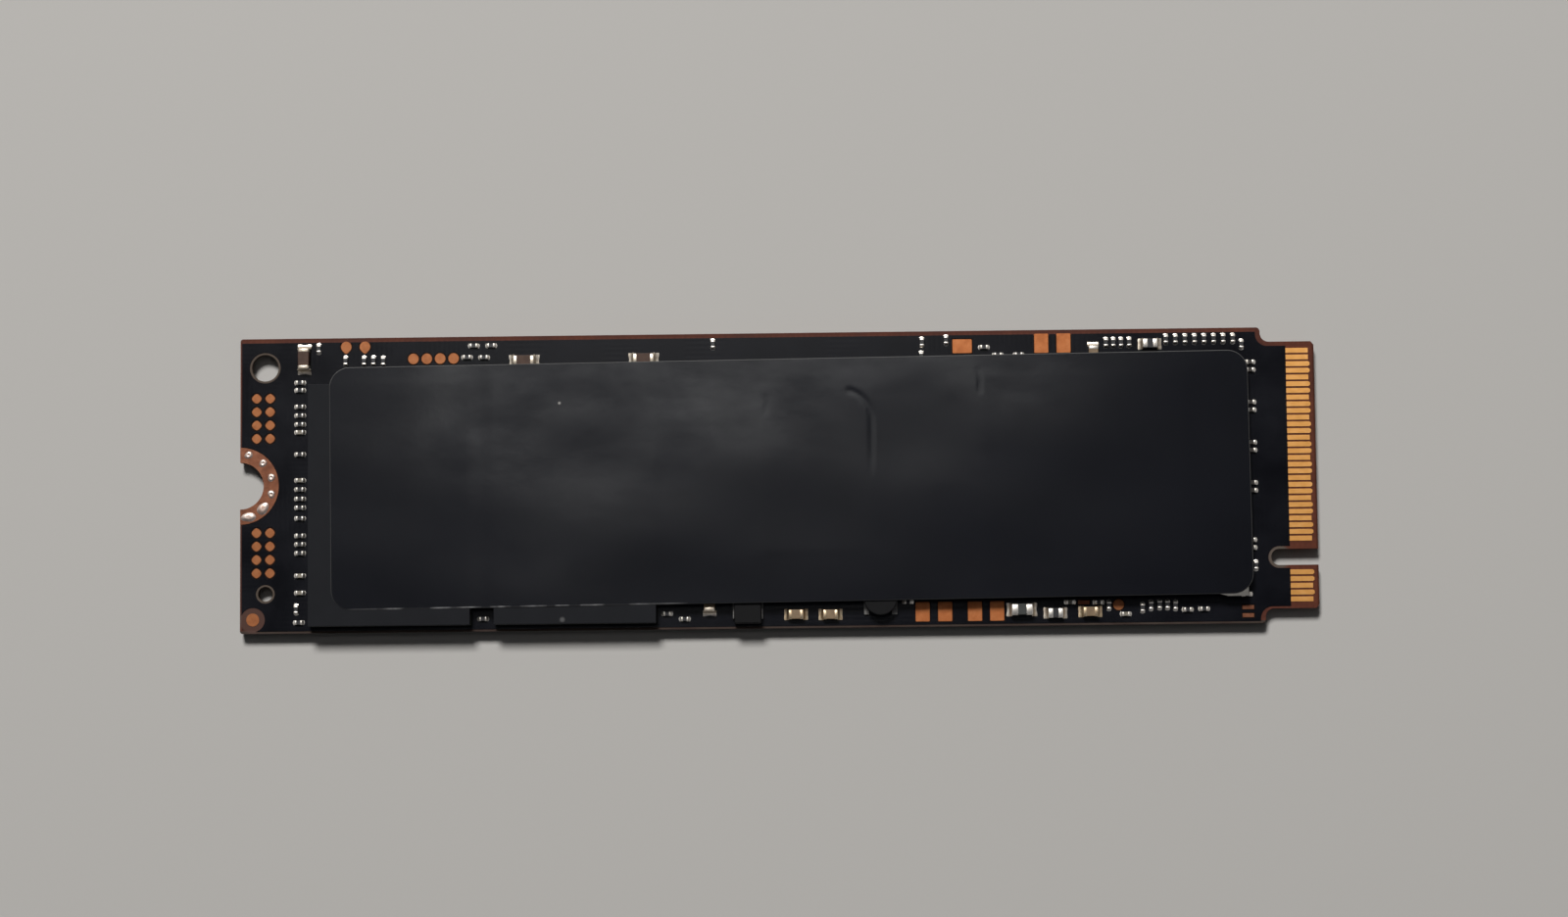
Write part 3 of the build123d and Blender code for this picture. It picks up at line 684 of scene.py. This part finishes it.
def chipEnds(chip, look):
    # plated caps: a rounded section in Y and Z carried along X, fuller rounded at its outer end
    half = chip["plated"] / 2
    profile = roundedProfile(-half, half, look["lip"], look["nose"], look["steps"])
    height = chip["endHigh"] - chip["endLow"]
    cap = lyingAlongX(stackedRings(chip["endWidth"], height, look["nose"] * chipCorners["cap"], profile))
    return bothEnds(cap + np.array([chip["reach"], 0, chip["endLow"] + height / 2]), chip)


def solderToes(chip, look):
    # concave fillets: the front is x = toe (1 - t)^2, z = rise t^2; the section shrinks at both sides, and
    # the reach of x also in the middle, so that two legs stand out
    share = np.linspace(0, 1, look["toeSteps"])
    rise = look["rise"] * (chip["endHigh"] - chip["endLow"])
    alongX = np.concatenate([[-look["tuck"]], look["toe"] * (1 - share) ** 2, [-look["tuck"]]])
    alongZ = np.concatenate([[0], rise * share ** 2, [rise]])
    across = np.linspace(1, -1, look["toeStations"])[:, None]
    shrink = 1 - look["shoulder"] * np.abs(across) ** 3
    leg = look["valley"] + (1 - look["valley"]) * across ** 2
    outer = chip["reach"] + chip["plated"] / 2
    x = outer + shrink * leg * alongX
    y = np.broadcast_to(across * (chip["endWidth"] / 2 + look["spread"]), x.shape)
    z = chip["endLow"] + shrink * alongZ
    return bothEnds(np.stack([x, y, z], axis=-1), chip)


smallChipLook = {
    "edge": 0.02, "tuck": 0.04, "steps": 2, "lip": 0.015, "nose": 0.05,
    "toe": 0.14, "rise": 0.7, "shoulder": 0.45, "valley": 1.0, "spread": 0.0,
    "toeSteps": 5, "toeStations": 4,
}
middleChipLook = {
    "edge": 0.025, "tuck": 0.06, "steps": 4, "lip": 0.02, "nose": 0.07,
    "toe": 0.42, "rise": 0.72, "shoulder": 0.3, "valley": 0.72, "spread": 0.05,
    "toeSteps": 8, "toeStations": 15,
}
bulkChipLook = {
    "edge": 0.04, "tuck": 0.08, "steps": 5, "lip": 0.03, "nose": 0.10,
    "toe": 0.46, "rise": 0.68, "shoulder": 0.3, "valley": 0.62, "spread": 0.08,
    "toeSteps": 10, "toeStations": 17,
}
chipFamilies = {
    "small_resistor": (smallChipLook, "coat", "ceramic_dark"),
    "small_capacitor": (smallChipLook, "smallCeramic", "ceramic_tan"),
    "decoupling_capacitor": (middleChipLook, "tanCeramic", "ceramic_tan"),
    "filter_capacitor": (middleChipLook, "tanCeramic", "ceramic_tan"),
    "sense_resistor": (middleChipLook, "coat", "ceramic_dark"),
    "ferrite_bead": (bulkChipLook, "beadCeramic", "ferrite"),
    "bulk_capacitor": (bulkChipLook, "brownCeramic", "ceramic_brown"),
}
drawnWithSolder = ("small_resistor", "small_capacitor", "filter_capacitor")  # toes and ends in one piece
endFinishes = {"filter_capacitor": "tanReflectTin", "bulk_capacitor": "creamTin"}  # the others have plain tin
largeToes = []
for family, (chipLook, bodyFinish, bodySlot) in chipFamilies.items():
    chip = chipPlaces(family)
    if bodyFinish == "coat":
        finish = resistorFinish(family.replace("_", " ") + " coat", chip["bodyHigh"], resistorLook)
    else:
        finish = finishes[bodyFinish]
    ringPiece(family + ".ceramic", [chipBodies(chip, chipLook)], finish, [family + "_bodies"])
    endSurfaces = [chipEnds(chip, chipLook)]
    toes = solderToes(chip, chipLook)
    if family in drawnWithSolder:
        endSurfaces.append(toes)
    else:
        largeToes.append(toes)
    endFinish = finishes[endFinishes.get(family, "tin")]
    ringPiece(family + ".plated", endSurfaces, endFinish, [family + "_ends"])
ringPiece("solder_toes", largeToes, finishes["solder"], ["solder_fillets"])


def packageSurface(nodeName, look):
    # rounded rectangles up the side of a package: resin if it reaches the board, carrier, parting line, mould
    low, high = nodeBox(nodeName)
    top = packageBottom + look["substrate"]
    parting = look["parting"]
    wall = [(0, packageBottom), (0, top), (parting, top + parting / 2), (0, top + parting)]
    if low[2] < packageBottom:
        inset = look["resinInset"]
        foot, neck = low[2] + look["resinFoot"], low[2] + look["resinNeck"]
        wall = [(0, low[2]), (inset / 2, foot), (inset, neck), (inset, packageBottom)] + wall
    upper = softTopProfile(top, high[2], look["edge"], look["steps"])[1:]
    profile = np.concatenate([np.array(wall, float), upper])
    block = stackedRings(high[0] - low[0], high[1] - low[1], look["corner"], profile, look["steps"])
    return placed(block, ((low + high) / 2)[None])


for nodeName in packages:
    mould = packageSurface(nodeName, packageLook)
    ringPiece(nodeName + ".mould", [mould], finishes["mould"], [nodeName],
              packageLook["sharp"])


ballLook = {"waist": 1.18, "rows": 5, "columns": 10}


def ballSurface(nodeName, look):
    # solder balls squeezed to barrels: the radius swells as a sine from pad to pad
    middles, sizes = solidBoxes(nodeName)
    share = np.linspace(0, 1, look["rows"])
    radius = sizes[0, 0] / 2 * (1 + (look["waist"] - 1) * np.sin(share * 2 * quarter)) / look["waist"]
    level = middles[0, 2] + sizes[0, 2] * (share - 0.5)
    return placed(turnedRings(np.stack([radius, level], axis=-1), look["columns"]), middles)


for nodeName in ("flash_balls_a", "flash_balls_b"):
    barrels = ballSurface(nodeName, ballLook)
    ringPiece(nodeName + ".barrels", [barrels], finishes["solder"], [nodeName])


padLook = {
    "edge": 0.012, "rim": [(0, 1), (0.4, 0.3), (1.4, 0)],  # rows of a round rim: inset and depth in edges
    "columns": 32, "tailWidth": 0.42, "leastTail": 0.05, "steps": 3, "cornerSteps": 4,
}


def roundPads(nodeName, power, look):
    # foil discs with a softened rim and the outline |x|^power + |y|^power = radius^power, so that a power
    # under 2 gives four blunt points; a tail swells it as a bell curve about the downward direction
    middles, sizes = solidBoxes(nodeName)
    radius = sizes[:, 0, None, None] / 2
    tail = (sizes[:, 1] - sizes[:, 0])[:, None, None]
    tail = np.where(tail > look["leastTail"], tail, 0)
    rim = np.array(look["rim"]) * look["edge"]
    inset = np.concatenate([[0], rim[:, 0]])[:, None]
    level = np.concatenate([[laminateTop], foilTop - rim[:, 1]])[:, None]
    angle = circleOf(look["columns"])
    fromTail = np.abs(angle - 3 * quarter)
    radius = radius * (np.abs(np.cos(angle)) ** power + np.abs(np.sin(angle)) ** power) ** (-1 / power)
    outline = radius + tail * np.exp(-(fromTail / look["tailWidth"]) ** 2) - inset
    x = middles[:, 0, None, None] + outline * np.cos(angle)
    y = middles[:, 1, None, None] + tail / 2 + outline * np.sin(angle)
    return np.stack([x, y, np.broadcast_to(level, x.shape)], axis=-1)


def squarePads(nodeName, corner, look):
    # foil rectangles with small round corners
    middles, sizes = solidBoxes(nodeName)
    upright = sizes[:, 1] > sizes[:, 0]
    profile = softTopProfile(laminateTop, foilTop, look["edge"], look["steps"])
    pad = stackedRings(sizes[0, :2].max(), sizes[0, :2].min(), corner, profile, look["cornerSteps"])
    return placed(pad, middles, np.where(upright, quarter, 0.0))


padFamilies = {  # how pads are drawn, with which power or corner, and their finish
    "header_pads": (roundPads, 1.5, "roundCopper"),
    "round_probe_pads": (roundPads, 2.0, "roundCopper"),
    "square_probe_pads": (squarePads, 0.07, "padCopper"),
    "spare_pads": (squarePads, 0.04, "ringCopper"),
}
for nodeName, (drawPads, outline, padFinish) in padFamilies.items():
    padSurface = drawPads(nodeName, outline, padLook)
    ringPiece(nodeName + ".foil", [padSurface], finishes[padFinish], [nodeName])


viaLook = {
    "columns": 24, "rows": 9, "tip": 0.06, "mound": 0.7, "dimple": 0.5, "dimpleReach": 0.38, "sharp": 80.0,
    "wobble": 0.09, "wobbles": [(2, 1.9, 1.0), (3, 2.7, 0.6)],  # waves round, step in phase, share
    "smeared": 2, "smear": 1.6, "swell": 1.2, "smearedDimple": 0.15,  # the lowest ones, which ran together
}


def viaSolder(look):
    # low mounds: rise (1 - s^2)^mound over the share s of the radius, less a dimple over the hole; the
    # smeared ones are drawn out along the ring
    middles, sizes = solidBoxes("ring_via_solder")
    order = np.argsort(middles[:, 1])
    middles, sizes = middles[order], sizes[order]
    number = np.arange(len(middles))[:, None, None]
    smeared = number < look["smeared"]
    share = np.linspace(1, look["tip"], look["rows"])[:, None]
    angle = circleOf(look["columns"])
    wobble = sum(part * np.sin(waves * angle + step * number) for waves, step, part in look["wobbles"])
    radius = sizes[0, 0] / 2 * share * (1 + look["wobble"] * wobble) * np.where(smeared, look["swell"], 1.0)
    outward = np.arctan2(middles[:, 1], middles[:, 0] - cadBox[0].x / mm)[:, None, None]
    across = radius * np.cos(angle)
    along = radius * np.sin(angle) * np.where(smeared, look["smear"], 1.0)
    dimple = np.where(smeared, look["smearedDimple"], look["dimple"])
    dip = 1 - dimple * np.exp(-(share / look["dimpleReach"]) ** 2)
    z = foilTop + sizes[0, 2] * (1 - share ** 2) ** look["mound"] * dip
    x = middles[:, 0, None, None] + across * np.cos(outward) - along * np.sin(outward)
    y = middles[:, 1, None, None] + across * np.sin(outward) + along * np.cos(outward)
    return np.stack([x, y, np.broadcast_to(z, x.shape)], axis=-1)


ringPiece("ring_via_solder.mounds", [viaSolder(viaLook)], finishes["tinning"], ["ring_via_solder"],
          viaLook["sharp"])


inductorLook = {"corner": 0.12, "edge": 0.07, "steps": 4, "cornerSteps": 4}
plateLook = {"corner": 0.04, "edge": 0.03, "steps": 3, "cornerSteps": 4}


def blocksOf(nodeName, look):
    # every solid of a node as a block with rounded corners and a rounded upper edge
    middles, sizes = solidBoxes(nodeName)
    low, high = middles[0, 2] - sizes[0, 2] / 2, middles[0, 2] + sizes[0, 2] / 2
    profile = softTopProfile(low, high, look["edge"], look["steps"])
    return placed(stackedRings(*sizes[0, :2], look["corner"], profile, look["cornerSteps"]), middles)


ringPiece("power_inductor.block", [blocksOf("power_inductor", inductorLook)], finishes["ferrite"],
          ["power_inductor"])
# the plates' tin is painted dark, as if in shade
for nodeName in ("power_inductor_ends", "drum_inductor_feet"):
    ringPiece(nodeName + ".plates", [blocksOf(nodeName, plateLook)], finishes["shadeDarkTin"], [nodeName])


drumLook = {
    "flange": 0.22, "waist": 0.95, "edge": 0.045, "edgeSteps": 4, "columns": 56,
    "turns": 5, "turnSteps": 8, "wire": 0.045, "wound": 1.09, "gap": 0.005, "sink": 0.02,
}


def drumSurfaces(look):
    # a turned core with two flanges, and the winding on its waist, whose radius follows the rounded wires
    low, high = nodeBox("drum_inductor")
    radius = (high[0] - low[0]) / 2
    flange, edge, waist, gap = look["flange"], look["edge"], look["waist"], look["gap"]
    soften = roundedProfile(0, flange, edge, edge, look["edgeSteps"])
    lower = np.stack([radius - soften[:, 0], low[2] + soften[:, 1]], axis=-1)
    upper = np.stack([radius - soften[:, 0], high[2] - flange + soften[:, 1]], axis=-1)
    neck = np.array([(waist, low[2] + flange), (waist, high[2] - flange)])
    core = turnedRings(np.concatenate([lower, neck, upper]), look["columns"])
    share = np.linspace(0, 1, look["turns"] * look["turnSteps"] + 1)
    level = low[2] + flange + gap + share * (high[2] - low[2] - 2 * flange - 2 * gap)
    bulge = look["wound"] + look["wire"] * np.abs(np.sin(share * look["turns"] * 2 * quarter))
    bulge[[0, -1]] = waist - look["sink"]
    winding = turnedRings(np.stack([bulge, level], axis=-1), look["columns"])
    middle = ((low + high) / 2)[None]
    return placed(core, middle), placed(winding, middle)


drumCore, drumWinding = drumSurfaces(drumLook)
ringPiece("drum_inductor.core", [drumCore], finishes["ferrite"], ["drum_inductor"])
ringPiece("drum_inductor.winding", [drumWinding], finishes["lacquer"])


def packageDistance(x, y):
    # how far a point is from the nearest package that carries the film
    away = np.full(x.shape, np.inf)
    for nodeName in packages:
        low, high = nodeBox(nodeName)
        beyondX = np.maximum(np.maximum(low[0] - x, x - high[0]), 0)
        beyondY = np.maximum(np.maximum(low[1] - y, y - high[1]), 0)
        away = np.minimum(away, np.hypot(beyondX, beyondY))
    return away


def filmOutline(look, bevel):
    # a grid over the film: straight lines across it, as long as the rounded outline allows at their place
    halfLength, halfWidth = look["length"] / 2 - bevel, look["width"] / 2 - bevel
    corner = look["corner"] - bevel
    straight = halfLength - corner
    swing = np.linspace(0, quarter, look["cornerSteps"])[1:]
    middle = np.linspace(-straight, straight, int(2 * straight / look["spacing"]))
    turning = straight + corner * np.sin(swing)
    along = np.concatenate([-turning[::-1], middle, turning])
    intoCorner = np.maximum(np.abs(along) - straight, 0)
    reach = halfWidth - corner + np.sqrt(np.maximum(corner ** 2 - intoCorner ** 2, 0))
    share = np.linspace(-1, 1, int(look["width"] / look["spacing"]))
    return np.broadcast_to(along[:, None], (len(along), len(share))), reach[:, None] * share


def creaseDistance(look, x, y):
    # distance from a fold that goes round the memory's upper outer corner as a quarter circle and on down its
    # side, where it fades with the cube of the way, or from the nearest of some straight, shallower dents
    _, high = nodeBox("memory_package")
    radius, length = look["creaseRadius"], look["creaseLength"]
    middleX, middleY = high[0] - radius, high[1] - radius - look["creaseDrop"]
    onArc = (x > middleX + look["creaseStart"]) & (y > middleY)
    around = np.where(onArc, np.abs(np.hypot(x - middleX, y - middleY) - radius), np.inf)
    fading = look["creaseFade"] * ((middleY - y) / length) ** 3
    onSide = (y <= middleY) & (y > middleY - length)
    nearest = np.minimum(around, np.where(onSide, np.abs(x - high[0]) + fading, np.inf))
    for fromX, fromY, toX, toY in look["dents"]:
        stepX, stepY = toX - fromX, toY - fromY
        share = np.clip(((x - fromX) * stepX + (y - fromY) * stepY) / (stepX ** 2 + stepY ** 2), 0, 1)
        away = np.hypot(x - fromX - share * stepX, y - fromY - share * stepY)
        nearest = np.minimum(nearest, away + look["dentFade"])
    return nearest


def filmLevel(look, x, y):
    # the film lies on the packages, sinks between them as 1 - exp(-distance), ripples as a sum of sines and
    # is creased as a bell curve across the fold
    sag = look["sag"] * (1 - np.exp(-packageDistance(x, y) / look["sagReach"]))
    ripple = np.full(x.shape, 0.5)
    for length, heading, share, phase in look["waves"]:
        towards = x * math.cos(math.radians(heading)) + y * math.sin(math.radians(heading))
        ripple = ripple + share / 2 * np.sin(4 * quarter * towards / length + phase)
    crease = look["crease"] * np.exp(-(creaseDistance(look, x, y) / look["creaseWidth"]) ** 2)
    return packageTop + look["film"] + look["wave"] * ripple - sag - crease


def onBoard(look, along, across):
    # from the film's own directions to the board's
    turn = math.radians(look["turn"])
    middle = filmMiddle()
    x = middle[0] + along * math.cos(turn) - across * math.sin(turn)
    y = middle[1] + along * math.sin(turn) + across * math.cos(turn)
    return x, y


def filmSheet(look, bevel, depth):
    # the film's surface, drawn in by a bevel and lowered by a depth
    x, y = onBoard(look, *filmOutline(look, bevel))
    return np.stack([x, y, filmLevel(look, x, y) - depth], axis=-1)


def labelPiece(look):
    # upper and lower sheet of the film and the cut edge between their rims, whose tone is painted paler
    # towards the window and darker away from it
    upper, lower = filmSheet(look, look["bevel"], 0.0), filmSheet(look, 0.0, look["film"])
    rows, columns, _ = lower.shape
    upper, lower = upper.reshape(-1, 3), lower.reshape(-1, 3)
    number = np.arange(len(lower)).reshape(rows, columns)
    corners = [number[:-1, :-1], number[1:, :-1], number[1:, 1:], number[:-1, 1:]]
    sheet = np.stack(corners, axis=-1).reshape(-1, 4)
    rim = np.concatenate([number[:-1, 0], number[-1, :-1], number[:0:-1, -1], number[0, :0:-1]])
    nextRim = np.roll(rim, -1)
    edge = np.stack([rim + len(upper), nextRim + len(upper), nextRim, rim], axis=-1)
    faces = np.concatenate([sheet, sheet[:, ::-1] + len(upper), edge])
    mesh = bpy.data.meshes.new("label.film")
    mesh.from_pydata(np.concatenate([upper, lower]) * mm, [], faces.tolist())
    mesh.set_sharp_from_angle(angle=math.radians(look["sharp"]))
    mesh.polygons.foreach_set("use_smooth", np.arange(len(faces)) < 2 * len(sheet))
    step = (lower[nextRim] - lower[rim])[:, :2]
    towardsWindow = -step @ np.array(look["cutFacing"]) / np.hypot(step[:, 0], step[:, 1])
    windowLitEdgeTone = np.clip(look["cutTone"] + look["cutSwing"] * towardsWindow, look["cutLeast"], 1)
    cutTone = np.concatenate([np.zeros(2 * len(sheet)), windowLitEdgeTone])
    mesh.attributes.new("cutEdgeWindowLit", "FLOAT", "FACE").data.foreach_set("value", cutTone.astype(np.float32))
    linkPiece("label.film", mesh, finishes["label"], ["label"])


labelPiece(labelLook)


def backingSurface(look):
    # a sliver of backing under the film's outer corner: across it runs from inside the rounded outline to a
    # straight edge, which leaves the outline in a straight line and then goes on beside it
    fromEnd = np.linspace(look["fromEnd"], look["toEnd"], look["stations"])
    corner = labelLook["corner"]
    intoCorner = np.clip(corner - fromEnd, 0, corner)
    inside = corner - np.sqrt(corner ** 2 - intoCorner ** 2) + look["tuck"]
    outside = -look["drop"] * np.clip((look["fromEnd"] - fromEnd) / look["dropLength"], 0, 1)
    across = np.stack([outside, inside, inside, outside], axis=-1) - labelLook["width"] / 2
    along = np.broadcast_to((labelLook["length"] / 2 - fromEnd)[:, None], across.shape)
    x, y = onBoard(labelLook, along, across)
    lift = np.array([0, 0, look["thickness"], look["thickness"]])
    z = filmLevel(labelLook, x, y) - labelLook["film"] - look["gap"] - look["thickness"] + lift
    return np.stack([x, y, z], axis=-1)[None]


ringPiece("label.backing", [backingSurface(backingLook)], finishes["backing"])

floorLook = {  # size and gap in metres
    "size": 3.0, "gap": 0.00045, "colour": (0.50, 0.49, 0.475), "roughness": 0.8, "gloss": 0.2,
}


def makeFloor(look):
    # one plain pale sheet just under the board
    corners = np.array([(-1, -1), (1, -1), (1, 1), (-1, 1)]) * look["size"] / 2
    points = np.column_stack([corners, np.full(4, cadBox[0].z - look["gap"])])
    mesh = bpy.data.meshes.new("floor")
    mesh.from_pydata(points, [], [(0, 1, 2, 3)])
    finish, shader, _ = startFinish("pale floor", Roughness=look["roughness"])
    fillSockets(shader, Base_Color=(*look["colour"], 1), Specular_IOR_Level=look["gloss"])
    mesh.materials.append(finish)
    floor = bpy.data.objects.new("floor", mesh)
    bpy.context.scene.collection.objects.link(floor)


makeFloor(floorLook)

cameraLook = {  # place, lens and sensor in millimetres, turn in degrees
    "place": (3.5, -20.6, 262.1), "turn": (4.85, 0.71, -0.6), "lens": 81.0, "sensor": 36.0, "clip": 5.0,
}
cameraData = bpy.data.cameras.new("camera")
cameraData.lens = cameraLook["lens"]
cameraData.sensor_width = cameraLook["sensor"]
cameraData.clip_start = cameraLook["clip"] * mm
camera = bpy.data.objects.new("camera", cameraData)
camera.location = [value * mm for value in cameraLook["place"]]
camera.rotation_euler = [math.radians(value) for value in cameraLook["turn"]]
bpy.context.scene.collection.objects.link(camera)
bpy.context.scene.camera = camera

lampLooks = {  # place and size in metres, power in watts
    "window": {
        "place": (-0.098, 0.407, 0.644), "size": (0.17, 0.17), "power": 5.7, "colour": (1.0, 0.985, 0.96),
    },
    "ceiling": {
        "place": (-0.024, 0.112, 0.60), "size": (0.16, 0.10), "power": 0.080, "colour": (1.0, 1.0, 1.0),
    },
    "fill": {
        "place": (0.30, -0.50, 0.45), "size": (0.5, 0.5), "power": 0.14, "colour": (0.97, 0.985, 1.0),
    },
}


def makeLamp(name, look):
    # an oblong soft box that looks at the object's middle
    data = bpy.data.lights.new(name, "AREA")
    data.shape = "RECTANGLE"
    data.size, data.size_y = look["size"]
    data.energy, data.color = look["power"], look["colour"]
    lamp = bpy.data.objects.new(name, data)
    lamp.location = look["place"]
    lamp.rotation_euler = (-lamp.location).to_track_quat("-Z", "Y").to_euler()
    bpy.context.scene.collection.objects.link(lamp)


for lampName, lampLook in lampLooks.items():
    makeLamp(lampName, lampLook)

worldLook = {
    "light": 0.014, "bright": (0.90, 0.89, 0.875), "dim": (0.22, 0.22, 0.225), "sideSpan": (-0.5, 0.7),
    "overhead": (0.040, 0.043, 0.056), "overheadSpan": (0.55, 0.96),
}


def makeWorld(look):
    # even light from all round; the camera and the metals see a pale backdrop, brighter on the window's side
    # and dim straight overhead
    world = bpy.data.worlds.new("studio")
    world.use_nodes = True
    tree = world.node_tree
    light = fillSockets(tree.nodes["Background"], Color=(1, 1, 1, 1), Strength=look["light"])
    direction = addNode(tree, "SeparateXYZ", Vector=addNode(tree, "TexCoord").outputs["Generated"]).outputs
    side = mixOf(rangeOf(direction["Y"], look["sideSpan"], (0, 1)), look["dim"], look["bright"])
    overhead = rangeOf(direction["Z"], look["overheadSpan"], (0, 1))
    backdrop = addNode(tree, "Background", Color=mixOf(overhead, side, look["overhead"]))
    rays = addNode(tree, "LightPath").outputs
    seen = mathOf("MAXIMUM", rays["Is Camera Ray"], rays["Is Glossy Ray"])
    seen = mathOf("MAXIMUM", seen, rays["Is Transmission Ray"])
    mix = addNode(tree, "MixShader", Fac=seen)
    fillSocket(mix.inputs[1], light.outputs["Background"])
    fillSocket(mix.inputs[2], backdrop.outputs["Background"])
    fillSockets(tree.nodes["World Output"], Surface=mix.outputs["Shader"])
    bpy.context.scene.world = world


makeWorld(worldLook)
bpy.context.scene.view_settings.view_transform = "Standard"
print("stage, camera and lamps set")
